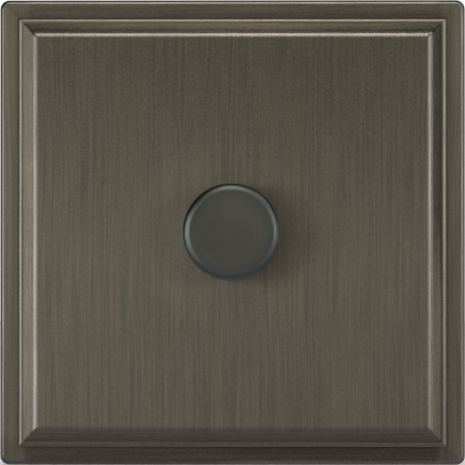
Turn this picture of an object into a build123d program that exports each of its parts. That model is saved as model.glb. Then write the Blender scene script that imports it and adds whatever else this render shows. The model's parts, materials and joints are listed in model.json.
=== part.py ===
from build123d import *
import os

# Rotary push dimmer on a stepped, screwless wall plate.
# Bench frame in millimetres: X right, Y up, Z out of the wall. The wall surface is Z = 0.
# Each piece is turned on export, so that the front faces -Y and +Z is up.

# Fits
fit_gap = 0.05
loose_gap = 0.3

# Front plate and its mitred moulding, from the outer edge inwards
plate_side = 88.0
plate_corner = 1.7
plate_wall = 1.4
band_height = 4.9
band_round = 1.0
step_inset = 3.45
step_rise = 0.9
nose_round = 0.7
quirk_width = 0.2
quirk_depth = 0.05
tread_width = 1.65
tread_rise = 0.25
field_rise = 0.35
field_round = 2.0
field_corner = 1.6
pry_width = 8.0
pry_height = 1.0

# Carrier frame behind the plate
carrier_thick = 2.0
carrier_gap = 0.25
rib_thick = 1.6
rib_inset = 1.5
rib_gap = 0.2
collar_wall = 1.4
locator_length = 20.0
locator_depth = 1.6
snap_length = 12.0
snap_reach = 0.4
snap_height = 1.0
snap_level = 0.9
snap_gap = 0.1

# Wall fixing screws
fixing_centres = 60.3
fixing_radius = 1.75
fixing_length = 22.0
fixing_neck = 1.5
fixing_head_radius = 3.3
fixing_head_height = 2.2
fixing_slot_length = 7.0
drive_width = 0.9
drive_depth = 1.0

# Earth bond of the plate
earth_gap = 1.75
earth_block_side = 6.5
earth_block_depth = 7.0
earth_tenon_radius = 1.5
earth_peen_radius = 2.2
earth_peen_height = 0.5
strip_width = 5.0
strip_thick = 0.6
strip_tail = 3.5
strip_foot = 2.4
strip_ramp = 1.4
strip_pad = 0.9

# Wire terminals
wire_radius = 1.7
clamp_screw_radius = 1.5
clamp_head_radius = 2.0
clamp_head_height = 1.4
clamp_slot_width = 0.6
clamp_slot_depth = 0.7
clamp_open = 0.4
terminal_pitch = 11.0
terminal_width = 7.0
terminal_length = 8.0
terminal_height = 7.0
tail_width = 3.0
tail_thick = 0.8
tail_lap = 1.2

# Module: heat sink in front, housing behind
module_side = 48.0
module_corner = 3.0
sink_thick = 2.0
housing_wall = 1.8
solder_room = 3.2
post_radius = 2.6
post_bite = 0.4
shelf_radius = 3.8
bulkhead_thick = 1.6
divider_thick = 1.2
cover_screw_radius = 1.2
cover_screw_length = 8.0
cover_head_radius = 2.3
cover_head_height = 1.1
vent_width = 1.6
vent_length = 12.0
vent_pitch = 4.0
vent_count = 4
vent_place = 9.0

# Bush, spindle and knob
bush_radius = 5.0
bush_spare = 1.2
bush_chamfer = 0.4
flange_thick = 1.6
washer_thick = 0.6
washer_radius = 7.8
nut_thick = 2.0
nut_across_flats = 14.0
nut_chamfer = 0.6
spindle_radius = 3.0
spindle_flat = 1.5
spindle_chamfer = 0.4
spindle_flat_lead = 1.5
clip_thick = 0.7
clip_radius = 5.0
clip_play = 0.1
groove_radius = 2.3
knob_radius = 9.0
knob_height = 12.5
knob_round = 1.45
knob_gap = 2.2
knob_back_chamfer = 0.3
cap_wall = 1.0
insert_wall = 1.2
insert_web = 1.4
insert_recess = 0.6
hub_radius = 4.8
hub_rib = 1.4
leaf_thick = 0.3
leaf_bow = 0.4
leaf_width = 2.6
leaf_length = 6.5
leaf_play = 0.02

# Push potentiometer behind the bush
push_travel = 1.5
case_side = 18.0
case_corner = 2.0
chamber_radius = 7.3
switch_radius = 6.2
case_floor = 1.5
rotor_thick = 2.0
rotor_radius = 6.8
rotor_gap = 0.4
stop_inner = 5.5
stop_half_angle = 24.0
lug_outer = 6.7
lug_half_angle = 19.0
lug_height = 1.6
brush_thick = 0.4
brush_drop = 0.8
brush_outer = 6.2
brush_inner = 4.2
brush_dot_place = 5.2
brush_dot_radius = 0.6
wafer_thick = 1.0
wafer_hole = 4.0
spindle_nose = 0.5
pad_radius = 3.4
pad_thick = 1.5
wing_reach = 6.6
wing_width = 1.8
wing_gap = 0.15
stem_radius = 1.7
stem_short = 0.3
bridge_length = 10.6
bridge_width = 4.8
bridge_thick = 0.5
contact_place = 4.5
contact_width = 1.6
contact_depth = 2.4
contact_pad = 0.5
contact_post = 0.8
contact_air = 0.1
contact_height = 2.0
spring_mean_radius = 2.6
spring_wire = 0.2
spring_turns = 4
spring_wire_sides = 8

# Circuit board and what it carries
board_thick = 1.6
board_gap = 0.3
board_low = -12.0
board_lap = 1.0
board_stem_hole = 2.5
triac_x = -15.4
triac_low = 1.6
triac_width = 10.2
triac_body_length = 9.0
triac_body_thick = 4.5
triac_tab_length = 6.0
triac_tab_thick = 1.3
triac_hole_radius = 1.8
triac_hole_place = 3.0
triac_lead = 0.8
triac_lead_pitch = 2.54
triac_lead_out = 1.6
triac_lead_level = 2.6
triac_pad_thick = 0.3
triac_pad_margin = 0.4
triac_screw_radius = 1.45
triac_head_radius = 2.7
triac_head_height = 1.6
choke_x = -16.0
choke_y = -5.9
choke_radius = 5.0
choke_height = 10.0
choke_flange = 1.2
choke_waist = 2.4
choke_wind_inset = 0.4
capacitor_x = 15.5
capacitor_y = 3.0
capacitor_width = 6.0
capacitor_length = 15.0
capacitor_height = 11.0
capacitor_round = 0.6
fuse_y = 15.6
fuse_length = 20.0
fuse_radius = 2.4
fuse_bore = 1.9
fuse_cap_length = 5.0
fuse_cap_wall = 0.25
fuse_level = 3.6
fuse_clip_length = 3.6
fuse_clip_wall = 0.6
chip_x = 15.7
chip_y = -8.0
chip_width = 3.9
chip_length = 4.9
chip_height = 1.6
chip_lead = 0.45
chip_lead_reach = 1.0
chip_lead_pitch = 1.27
chip_lead_count = 4

# Levels and places worked out from the sizes above
plate_half = plate_side / 2
nose_top = band_height + step_rise
tread_top = nose_top + tread_rise
field_level = tread_top + field_rise
field_under = field_level - plate_wall
band_under = band_height - plate_wall
tread_inset = step_inset + nose_round + quirk_width
riser_inset = tread_inset + tread_width
field_slope = (field_round ** 2 - (field_round - field_rise) ** 2) ** 0.5
field_half = plate_half - riser_inset - field_slope
skirt_half = plate_half - plate_wall
carrier_half = skirt_half - carrier_gap
rib_half = field_half - rib_inset
rib_level = field_under - rib_gap
module_half = module_side / 2
inside_half = module_half - housing_wall
post_place = inside_half - post_radius + post_bite
earth_place = module_half + earth_gap + earth_block_side / 2
head_room = fixing_head_radius + loose_gap
head_top = carrier_thick + fixing_head_height
nut_back = carrier_thick + washer_thick
bush_top = nut_back + nut_thick + bush_spare
bush_hole = bush_radius + loose_gap
knob_back = field_level + knob_gap
knob_front = knob_back + knob_height
insert_radius = knob_radius - cap_wall - fit_gap
insert_back = knob_back + insert_recess
insert_front = knob_front - cap_wall
spindle_front = insert_front - insert_web
leaf_room = leaf_bow + leaf_thick + 2 * leaf_play
sink_back = -sink_thick
flange_back = sink_back - flange_thick
clip_front = flange_back - clip_play
clip_back = clip_front - clip_thick
rotor_front = clip_back - push_travel - rotor_gap
rotor_back = rotor_front - rotor_thick
brush_back = rotor_back - brush_thick
wafer_front = rotor_back - brush_drop
wafer_back = wafer_front - wafer_thick
spindle_end = wafer_back - spindle_nose
pad_back = spindle_end - pad_thick
bridge_back = pad_back - bridge_thick
contact_top = bridge_back - push_travel - contact_air
floor_front = contact_top - contact_height
case_back = floor_front - case_floor
board_back = case_back - board_thick
inside_back = board_back - solder_room
module_back = inside_back - housing_wall
board_half = inside_half - board_gap
terminal_low = -inside_half
terminal_high = terminal_low + terminal_length
terminal_mid = terminal_low + terminal_length / 2
wire_level = inside_back + terminal_height / 2
tab_face = sink_back - triac_pad_thick


def slab(width, height, low, high, corner=0.0):
    """Upright-edged block about the Z axis between two levels."""
    outline = RectangleRounded(width, height, corner) if corner else Rectangle(width, height)
    return Pos(0, 0, low) * extrude(outline, high - low)


def rod(radius, low, high):
    """Cylinder on the Z axis between two levels."""
    return Pos(0, 0, (low + high) / 2) * Cylinder(radius, high - low)


def ring(outer, inner, low, high):
    """Tube on the Z axis between two levels."""
    return rod(outer, low, high) - rod(inner, low, high)


def frame(outer_half, wall, low, high):
    """Square wall about the Z axis between two levels."""
    inner_half = outer_half - wall
    return slab(2 * outer_half, 2 * outer_half, low, high) - slab(2 * inner_half, 2 * inner_half, low, high)


def d_rod(radius, flat, low, high):
    """Cylinder on the Z axis with a flat on its upper side."""
    off = Pos(0, flat + radius, 0) * slab(4 * radius, 2 * radius, low, high)
    return rod(radius, low, high) - off


def sector(inner, outer, middle, half_angle, low, high):
    """Part of a tube about one direction, between two levels."""
    start = middle - half_angle
    sweep_angle = 2 * half_angle
    far = CenterArc((0, 0), outer, start, sweep_angle)
    near = CenterArc((0, 0), inner, start, sweep_angle)
    sides = Line(near @ 0, far @ 0) + Line(near @ 1, far @ 1)
    return Pos(0, 0, low) * extrude(make_face(far + near + sides), high - low)


def drive_slot(width, depth, radius, level, depth_sign):
    """Straight screwdriver slot cut into a head from its face at a level."""
    ends = sorted((level, level + depth_sign * depth))
    return slab(2 * radius, width, ends[0], ends[1])


def both_sides(piece):
    """A piece and its mirror image to the other side of the centre line."""
    return piece + mirror(piece, Plane.YZ)


def four_corners(piece, place):
    """The same piece at the four corners of a square."""
    return [Pos(x, y, 0) * piece for x in (-place, place) for y in (-place, place)]


def moulding_side():
    """One side of the stepped moulding, nose and tread, with its ends cut to the mitres."""
    edge = plate_half - step_inset
    nose_in = edge - nose_round
    tread_out = plate_half - tread_inset
    riser = plate_half - riser_inset
    floor = band_under
    outline = [
        Line((0, floor), (edge, floor)),
        Line((edge, floor), (edge, nose_top - nose_round)),
        RadiusArc((edge, nose_top - nose_round), (nose_in, nose_top), -nose_round),
        Line((nose_in, nose_top), (nose_in - quirk_width / 2, nose_top - quirk_depth)),
        Line((nose_in - quirk_width / 2, nose_top - quirk_depth), (tread_out, nose_top)),
        Line((tread_out, nose_top), (riser, tread_top)),
        Line((riser, tread_top), (0, tread_top)),
        Line((0, tread_top), (0, floor)),
    ]
    run = extrude(Plane.XZ * make_face(outline), plate_half, both=True)
    wedge = make_face(Polyline((0, 0), (plate_half, -plate_half), (plate_half, plate_half), (0, 0)))
    return run & (Pos(0, 0, floor) * extrude(wedge, field_level))


def front_plate():
    """Cast plate: rounded outer band, four mitred sides, raised field, hollow back and snap pockets."""
    band = slab(plate_side, plate_side, 0, band_height, plate_corner)
    band = fillet(band.edges().group_by(Axis.Z)[-1], band_round)
    side = moulding_side()
    field_side = 2 * (field_half + field_round)
    field = slab(field_side, field_side, band_under, field_level, field_corner)
    field = fillet(field.edges().group_by(Axis.Z)[-1], field_round)
    plate = band + [Rot(0, 0, turn) * side for turn in (0, 90, 180, 270)] + field
    plate -= slab(2 * skirt_half, 2 * skirt_half, 0, band_under)
    plate -= slab(2 * field_half, 2 * field_half, 0, field_under)
    plate -= rod(bush_hole, field_under, field_level)
    screw_room = rod(head_room, 0, head_top + loose_gap)
    plate -= both_sides(Pos(fixing_centres / 2, 0, 0) * screw_room)
    pocket_reach = carrier_gap + snap_reach + snap_gap
    pocket_top = snap_level + snap_height + snap_gap
    pocket = slab(snap_length + 2 * snap_gap, pocket_reach, snap_level - snap_gap, pocket_top)
    pocket = Pos(0, carrier_half + pocket_reach / 2, 0) * pocket
    plate -= [Rot(0, 0, turn) * pocket for turn in (0, 90, 180, 270)]
    plate -= Pos(0, -plate_half, 0) * slab(pry_width, 4 * plate_wall, 0, pry_height)
    return plate


def carrier_frame():
    """Moulded frame with stiffening ribs, snap lugs, screw slots and module locators."""
    body = slab(2 * carrier_half, 2 * carrier_half, 0, carrier_thick)
    body += frame(rib_half, rib_thick, carrier_thick, rib_level)
    collar_inner = nut_across_flats / 2 + collar_wall + loose_gap
    collar_outer = collar_inner + collar_wall
    body += ring(collar_outer, collar_inner, carrier_thick, rib_level)
    rib_end = (rib_half - rib_thick) * 2 ** 0.5
    rib_run = slab(rib_end - collar_inner - collar_wall / 2, rib_thick, carrier_thick, rib_level)
    rib_run = Pos((rib_end + collar_inner + collar_wall / 2) / 2, 0, 0) * rib_run
    body += [Rot(0, 0, turn) * rib_run for turn in (45, 135, 225, 315)]
    locator = slab(rib_thick, locator_length, -locator_depth, 0)
    locator = Pos(module_half + loose_gap + rib_thick / 2, 0, 0) * locator
    body += both_sides(locator)
    lug_reach = carrier_gap + snap_reach
    lug = Pos(0, carrier_half + lug_reach / 2, 0) * slab(
        snap_length, lug_reach, snap_level, snap_level + snap_height
    )
    body += [Rot(0, 0, turn) * lug for turn in (0, 90, 180, 270)]
    slot = SlotOverall(fixing_slot_length, 2 * (fixing_radius + loose_gap))
    slot = Pos(fixing_centres / 2, 0, 0) * extrude(slot, carrier_thick)
    body -= both_sides(slot)
    screw_room = rod(head_room, carrier_thick, rib_level)
    body -= both_sides(Pos(fixing_centres / 2, 0, 0) * screw_room)
    strip_room = slab(strip_width + 2 * loose_gap, 2 * (strip_tail + loose_gap), carrier_thick, rib_level)
    body -= Pos(0, earth_place, 0) * strip_room
    body -= rod(bush_radius + fit_gap, 0, carrier_thick)
    body -= Pos(0, earth_place, 0) * rod(earth_tenon_radius + fit_gap, 0, carrier_thick)
    return body


def fixing_screws():
    """Pair of wall-box screws: bevelled head, thin neck through the slot, threaded shank."""
    head = rod(fixing_head_radius, carrier_thick, head_top)
    head = chamfer(head.edges().group_by(Axis.Z)[-1], fixing_head_height / 3)
    head -= drive_slot(drive_width, drive_depth, fixing_head_radius, head_top, -1)
    screw = head + rod(fixing_neck, 0, carrier_thick) + rod(fixing_radius, -fixing_length, 0)
    return Compound([Pos(x, 0, 0) * screw for x in (-fixing_centres / 2, fixing_centres / 2)])


def earth_strip():
    """Brass strip with a spring finger that presses on the back of the plate."""
    low = carrier_thick
    lift = field_under - strip_thick
    start = earth_place + strip_tail
    bend = earth_place - strip_foot
    run = [(start, low), (bend, low), (bend - strip_ramp, lift), (bend - strip_ramp - strip_pad, lift)]
    back = [(y, z + strip_thick) for y, z in reversed(run)]
    outline = make_face(Polyline(*run, *back, run[0]))
    strip = extrude(Plane.YZ * outline, strip_width / 2, both=True)
    hole = rod(earth_tenon_radius + fit_gap, carrier_thick, carrier_thick + strip_thick)
    return strip - Pos(0, earth_place, 0) * hole


def earth_clamp():
    """Earth terminal block, held by a tenon that is peened over the strip."""
    block = slab(earth_block_side, earth_block_side, -earth_block_depth, 0)
    middle = -earth_block_depth / 2
    block -= Pos(0, 0, middle) * Rot(0, 90, 0) * Cylinder(wire_radius, earth_block_side)
    block -= rod(clamp_screw_radius + fit_gap, -earth_block_depth, middle)
    peen_low = carrier_thick + strip_thick
    block += rod(earth_tenon_radius, 0, peen_low)
    block += rod(earth_peen_radius, peen_low, peen_low + earth_peen_height)
    return Pos(0, earth_place, 0) * block


def clamp_screw(face, tip):
    """Slotted clamping screw driven from the back: its head seats on a face."""
    head = rod(clamp_head_radius, face - clamp_head_height, face)
    slot_low = face - clamp_head_height
    head -= drive_slot(clamp_slot_width, clamp_slot_depth, clamp_head_radius, slot_low, 1)
    return head + rod(clamp_screw_radius, face, tip)


def earth_screw():
    """Clamping screw of the earth terminal."""
    tip = -earth_block_depth / 2 - wire_radius - clamp_open
    return Pos(0, earth_place, 0) * clamp_screw(-earth_block_depth, tip)


def heat_sink():
    """Aluminium front of the module, countersunk for the housing screws."""
    sink = slab(module_side, module_side, sink_back, 0, module_corner)
    sink -= rod(bush_radius + fit_gap, sink_back, 0)
    head_top = cover_head_radius + fit_gap
    head_low = cover_screw_radius + fit_gap
    sunk = rod(head_low, sink_back, -cover_head_height)
    sunk += Pos(0, 0, -cover_head_height / 2) * Cone(head_low, head_top, cover_head_height)
    sink -= four_corners(sunk, post_place)
    tap = rod(triac_screw_radius + fit_gap, sink_back, 0)
    sink -= Pos(triac_x, triac_low + triac_body_length + triac_hole_place, 0) * tap
    return sink


def housing_screws():
    """Four countersunk screws that hold the housing to the heat sink."""
    shank = rod(cover_screw_radius, -cover_screw_length, -cover_head_height)
    head = Pos(0, 0, -cover_head_height / 2) * Cone(cover_screw_radius, cover_head_radius, cover_head_height)
    slot = drive_slot(clamp_slot_width, clamp_slot_depth, cover_head_radius, 0, -1)
    return Compound(four_corners(head + shank - slot, post_place))


def module_housing():
    """Rear box with screw posts, board shelf, terminal bays, vents and wire entries."""
    box = slab(module_side, module_side, module_back, sink_back, module_corner)
    box = fillet(box.edges().group_by(Axis.Z)[0], housing_wall / 2)
    box -= slab(2 * inside_half, 2 * inside_half, inside_back, sink_back, module_corner - housing_wall)
    box += four_corners(rod(post_radius, inside_back, sink_back), post_place)
    shelf = rod(shelf_radius, inside_back, board_back)
    inside = slab(2 * inside_half, 2 * inside_half, inside_back, board_back)
    box += [(Pos(x, post_place, 0) * shelf) & inside for x in (-post_place, post_place)]
    bulkhead = slab(2 * inside_half, bulkhead_thick, inside_back, board_back)
    box += Pos(0, board_low + board_lap - bulkhead_thick / 2, 0) * bulkhead
    divider = slab(divider_thick, terminal_length, inside_back, inside_back + terminal_height)
    box += both_sides(Pos(terminal_pitch / 2, terminal_mid, 0) * divider)
    pilot = rod(cover_screw_radius + fit_gap, -cover_screw_length - loose_gap, sink_back)
    box -= four_corners(pilot, post_place)
    entry = Rot(90, 0, 0) * Cylinder(wire_radius + loose_gap, housing_wall)
    access = rod(clamp_head_radius + loose_gap, module_back, inside_back)
    for x in (-terminal_pitch, 0, terminal_pitch):
        box -= Pos(x, -module_half + housing_wall / 2, wire_level) * entry
        box -= Pos(x, terminal_mid, 0) * access
    vent = extrude(SlotOverall(vent_length, vent_width), housing_wall)
    for row in range(vent_count):
        place = vent_place + (row - (vent_count - 1) / 2) * vent_pitch
        box -= Pos(0, place, module_back) * vent
    return box


def bush():
    """Threaded bush with the square flange that closes the potentiometer."""
    thread = rod(bush_radius, sink_back, bush_top)
    thread = chamfer(thread.edges().group_by(Axis.Z)[-1], bush_chamfer)
    flange = slab(case_side, case_side, flange_back, sink_back, case_corner)
    return thread + flange - rod(spindle_radius + fit_gap, flange_back, bush_top)


def bush_washer():
    """Plain washer under the nut."""
    return ring(washer_radius, bush_hole, carrier_thick, nut_back)


def bush_nut():
    """Thin hexagon nut with both edges broken by a cone."""
    corner_radius = nut_across_flats / 3 ** 0.5
    nut = Pos(0, 0, nut_back) * extrude(RegularPolygon(corner_radius, 6), nut_thick)
    blank = rod(corner_radius, nut_back, nut_back + nut_thick)
    blank = chamfer(blank.edges().filter_by(GeomType.CIRCLE), nut_chamfer)
    return (nut & blank) - rod(bush_radius + fit_gap, nut_back, nut_back + nut_thick)


def spindle():
    """Steel spindle: flat in the knob, groove for the clip, flat in the rotor."""
    shaft = rod(spindle_radius, spindle_end, spindle_front)
    shaft = chamfer(shaft.edges().filter_by(GeomType.CIRCLE), spindle_chamfer)
    flat_cut = 2 * spindle_radius
    side = spindle_flat + spindle_radius
    knob_flat = slab(2 * flat_cut, flat_cut, field_level + spindle_flat_lead, spindle_front)
    shaft -= Pos(0, side, 0) * knob_flat
    shaft -= Pos(0, side, 0) * slab(2 * flat_cut, flat_cut, spindle_end, clip_back)
    return shaft - ring(2 * spindle_radius, groove_radius, clip_back, clip_front)


def spindle_clip():
    """Open clip in the spindle's groove."""
    body = ring(clip_radius, groove_radius, clip_back, clip_front)
    mouth = slab(2 * groove_radius - loose_gap, clip_radius, clip_back, clip_front)
    return body - Pos(0, -clip_radius / 2 - groove_radius / 2, 0) * mouth


def knob_cap():
    """Turned knob shell with a flat face and a rounded front edge."""
    body = rod(knob_radius, knob_back, knob_front)
    body = fillet(body.edges().group_by(Axis.Z)[-1], knob_round)
    body = chamfer(body.edges().group_by(Axis.Z)[0], knob_back_chamfer)
    return body - rod(knob_radius - cap_wall, knob_back, insert_front)


def knob_insert():
    """Moulded hub inside the knob: web, ribs and a D bore with room for the leaf."""
    hub = ring(insert_radius, insert_radius - insert_wall, insert_back, insert_front)
    hub += rod(insert_radius, spindle_front, insert_front)
    hub += rod(hub_radius, insert_back, insert_front)
    spoke = slab(2 * insert_radius - insert_wall, hub_rib, insert_back, insert_front)
    hub += spoke + Rot(0, 0, 90) * spoke
    return hub - d_rod(spindle_radius + fit_gap, spindle_flat + leaf_room, insert_back, spindle_front)


def knob_grip_spring():
    """Bowed leaf between the spindle's flat and the flat of the bore."""
    middle = (insert_back + spindle_front) / 2
    low = middle - leaf_length / 2
    high = middle + leaf_length / 2
    near = spindle_flat + leaf_play
    far = near + leaf_bow
    inner = ThreePointArc((far, low), (near, middle), (far, high))
    outer = ThreePointArc((far + leaf_thick, low), (near + leaf_thick, middle), (far + leaf_thick, high))
    ends = Line(inner @ 0, outer @ 0) + Line(inner @ 1, outer @ 1)
    return extrude(Plane.YZ * make_face(inner + outer + ends), leaf_width / 2, both=True)


def pot_case():
    """Moulded case: rotor chamber with its stop, wafer ledge, switch chamber and guide hole."""
    case = slab(case_side, case_side, case_back, flange_back, case_corner)
    case -= rod(chamber_radius, wafer_back, flange_back)
    case -= rod(switch_radius, floor_front, wafer_back)
    case -= rod(stem_radius + fit_gap, case_back, floor_front)
    groove = slab(wing_width + 2 * wing_gap, 2 * (wing_reach + wing_gap), floor_front, wafer_back)
    case -= groove
    slot = slab(contact_width + 2 * fit_gap, contact_post + 2 * fit_gap, case_back, floor_front)
    case -= both_sides(Pos(contact_place, 0, 0) * slot)
    stop_reach = chamber_radius + fit_gap
    stop_low = rotor_front + rotor_gap
    case += sector(stop_inner, stop_reach, 270, stop_half_angle, stop_low, flange_back)
    return case


def track_wafer():
    """Ring board with the resistance track, resting on the ledge of the case."""
    return ring(chamber_radius - fit_gap, wafer_hole, wafer_back, wafer_front)


def wiper_rotor():
    """Rotor driven by the spindle's flat, with the lug that meets the stop."""
    rotor = rod(rotor_radius, rotor_back, rotor_front)
    rotor += sector(stop_inner, lug_outer, 90, lug_half_angle, rotor_front, rotor_front + lug_height)
    return rotor - d_rod(spindle_radius + fit_gap, spindle_flat + fit_gap, rotor_back, rotor_front)


def wiper_brush():
    """Contact ring on the rotor with two dots that run on the track."""
    brush = ring(brush_outer, brush_inner, brush_back, rotor_back)
    dot = rod(brush_dot_radius, wafer_front, brush_back)
    return brush + both_sides(Pos(brush_dot_place, 0, 0) * dot)


def push_slider():
    """Slider with a pad under the spindle, two guide wings and a stem."""
    pad = rod(pad_radius, pad_back, spindle_end)
    wings = slab(wing_width, 2 * wing_reach, pad_back, spindle_end)
    return pad + wings + rod(stem_radius, case_back + stem_short, pad_back)


def contact_bridge():
    """Moving contact strip under the slider's pad."""
    strip = slab(bridge_length, bridge_width, bridge_back, pad_back)
    return strip - rod(stem_radius + fit_gap, bridge_back, pad_back)


def switch_contacts():
    """Pair of fixed contacts that stand on the board and pass through the floor."""
    contact = slab(contact_width, contact_depth, contact_top - contact_pad, contact_top)
    contact += slab(contact_width, contact_post, case_back, contact_top - contact_pad)
    return Compound([Pos(x, 0, 0) * contact for x in (-contact_place, contact_place)])


def return_spring():
    """Coil spring between the case floor and the contact bridge."""
    height = bridge_back - floor_front - 2 * spring_wire
    coil = Helix(height / spring_turns, height, spring_mean_radius)
    wire = Plane(coil @ 0, z_dir=coil % 0) * RegularPolygon(spring_wire, spring_wire_sides)
    return Pos(0, 0, floor_front + spring_wire) * sweep(wire, coil)


def circuit_board():
    """Board notched round the posts and drilled under the slider."""
    high = board_half
    board = Pos(0, (board_low + high) / 2, 0) * slab(2 * board_half, high - board_low, board_back, case_back)
    notch = rod(post_radius + board_gap, board_back, case_back)
    for x in (-post_place, post_place):
        board -= Pos(x, post_place, 0) * notch
    return board - rod(board_stem_hole, board_back, case_back)


def triac():
    """Power switch lying flat under the heat sink, with its leads bent to the board."""
    body_mid = triac_low + triac_body_length / 2
    body = Pos(0, body_mid, 0) * slab(
        triac_width, triac_body_length, tab_face - triac_body_thick, tab_face
    )
    tab_low = triac_low + triac_body_length
    tab_mid = tab_low + triac_tab_length / 2
    body += Pos(0, tab_mid, 0) * slab(triac_width, triac_tab_length, tab_face - triac_tab_thick, tab_face)
    hole = rod(triac_hole_radius, tab_face - triac_tab_thick, tab_face)
    body -= Pos(0, tab_low + triac_hole_place, 0) * hole
    level = tab_face - triac_lead_level
    out = slab(triac_lead, triac_lead_out, level - triac_lead, level)
    drop = slab(triac_lead, triac_lead, case_back, level)
    lead = Pos(0, triac_low - triac_lead_out / 2, 0) * out
    lead += Pos(0, triac_low - triac_lead_out + triac_lead / 2, 0) * drop
    body += [Pos(x, 0, 0) * lead for x in (-triac_lead_pitch, 0, triac_lead_pitch)]
    return Pos(triac_x, 0, 0) * body


def triac_pad():
    """Insulating sheet between the power switch and the heat sink."""
    length = triac_body_length + triac_tab_length + 2 * triac_pad_margin
    middle = triac_low + (triac_body_length + triac_tab_length) / 2
    sheet = slab(triac_width + 2 * triac_pad_margin, length, tab_face, sink_back)
    hole = rod(triac_hole_radius, tab_face, sink_back)
    return Pos(triac_x, middle, 0) * sheet - Pos(
        triac_x, triac_low + triac_body_length + triac_hole_place, 0
    ) * hole


def triac_screw():
    """Screw through the tab into the heat sink."""
    seat = tab_face - triac_tab_thick
    head = rod(triac_head_radius, seat - triac_head_height, seat)
    head -= drive_slot(clamp_slot_width, clamp_slot_depth, triac_head_radius, seat - triac_head_height, 1)
    screw = head + rod(triac_screw_radius, seat, -loose_gap)
    return Pos(triac_x, triac_low + triac_body_length + triac_hole_place, 0) * screw


def choke_core():
    """Ferrite drum standing on the board."""
    top = case_back + choke_height
    core = rod(choke_waist, case_back, top)
    core += rod(choke_radius, case_back, case_back + choke_flange)
    core += rod(choke_radius, top - choke_flange, top)
    return Pos(choke_x, choke_y, 0) * core


def choke_winding():
    """Copper winding between the flanges of the drum."""
    low = case_back + choke_flange
    high = case_back + choke_height - choke_flange
    coil = ring(choke_radius - choke_wind_inset, choke_waist + fit_gap, low, high)
    return Pos(choke_x, choke_y, 0) * coil


def suppressor_capacitor():
    """Moulded film capacitor standing on the board."""
    body = slab(capacitor_width, capacitor_length, case_back, case_back + capacitor_height, capacitor_round)
    body = fillet(body.edges().group_by(Axis.Z)[-1], capacitor_round / 2)
    return Pos(capacitor_x, capacitor_y, 0) * body


def fuse_lying(piece):
    """Turn a piece on the Z axis to lie along X over the board."""
    return Pos(0, fuse_y, case_back + fuse_level) * Rot(0, 90, 0) * piece


def fuse_tube():
    """Ceramic tube of the fuse."""
    return fuse_lying(ring(fuse_radius, fuse_bore, -fuse_length / 2, fuse_length / 2))


def fuse_caps():
    """Pair of end caps on the fuse tube."""
    end = fuse_length / 2
    outer = fuse_radius + fit_gap + fuse_cap_wall
    cap = rod(outer, end - fuse_cap_length, end + fuse_cap_wall)
    cap -= rod(fuse_radius + fit_gap, end - fuse_cap_length, end)
    return Compound([fuse_lying(cap), fuse_lying(Rot(180, 0, 0) * cap)])


def fuse_clips():
    """Pair of spring clips that hold the caps over the board."""
    cap_outer = fuse_radius + fit_gap + fuse_cap_wall
    outer = cap_outer + fuse_clip_wall
    clip = slab(fuse_clip_length, 2 * outer, case_back, case_back + fuse_level)
    seat = Rot(0, 90, 0) * Cylinder(cap_outer + fit_gap, fuse_clip_length)
    clip -= Pos(0, 0, case_back + fuse_level) * seat
    place = fuse_length / 2 - fuse_cap_length / 2
    return Compound([Pos(x, fuse_y, 0) * clip for x in (-place, place)])


def control_chip():
    """Small control chip with two rows of leads."""
    body = slab(chip_width, chip_length, case_back + chip_lead, case_back + chip_height)
    lead = slab(chip_width + 2 * chip_lead_reach, chip_lead, case_back, case_back + 2 * chip_lead)
    for row in range(chip_lead_count):
        body += Pos(0, (row - (chip_lead_count - 1) / 2) * chip_lead_pitch, 0) * lead
    return Pos(chip_x, chip_y, 0) * body


def terminal_clamps():
    """Three brass terminal blocks in the housing bays, each with a tail on the board."""
    block = slab(terminal_width, terminal_length, inside_back, inside_back + terminal_height)
    bore_reach = terminal_length - clamp_screw_radius
    bore = Pos(0, -terminal_length / 2 + bore_reach / 2, wire_level) * Rot(90, 0, 0) * Cylinder(
        wire_radius, bore_reach
    )
    block -= bore
    block -= rod(clamp_screw_radius + fit_gap, inside_back, wire_level)
    tail_length = board_low + tail_lap - terminal_high
    tail = slab(tail_width, tail_length, case_back, case_back + tail_thick)
    block += Pos(0, terminal_length / 2 + tail_length / 2, 0) * tail
    return Compound([Pos(x, terminal_mid, 0) * block for x in (-terminal_pitch, 0, terminal_pitch)])


def terminal_screws():
    """Three clamping screws reached from the back of the housing."""
    screw = clamp_screw(inside_back, wire_level - wire_radius - clamp_open)
    return Compound([Pos(x, terminal_mid, 0) * screw for x in (-terminal_pitch, 0, terminal_pitch)])


pieces = [
    front_plate,
    carrier_frame,
    fixing_screws,
    earth_strip,
    earth_clamp,
    earth_screw,
    heat_sink,
    housing_screws,
    module_housing,
    bush,
    bush_washer,
    bush_nut,
    spindle,
    spindle_clip,
    knob_cap,
    knob_insert,
    knob_grip_spring,
    pot_case,
    track_wafer,
    wiper_rotor,
    wiper_brush,
    push_slider,
    contact_bridge,
    switch_contacts,
    return_spring,
    circuit_board,
    triac,
    triac_pad,
    triac_screw,
    choke_core,
    choke_winding,
    suppressor_capacitor,
    fuse_tube,
    fuse_caps,
    fuse_clips,
    control_chip,
    terminal_clamps,
    terminal_screws,
]

os.makedirs("parts", exist_ok=True)
for piece in pieces:
    export_step(Rot(90, 0, 0) * piece(), f"parts/{piece.__name__}.step")
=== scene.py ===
"""Looks of a rotary push dimmer switch with a stepped, brushed bronze wall plate.

The front faces -Y, +Z is up, lengths are metres, and the wall surface is the plane Y = 0.
"""

import json
import logging
import math
from dataclasses import dataclass, field
from enum import Enum
from functools import cache
from typing import ClassVar, Sequence

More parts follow.
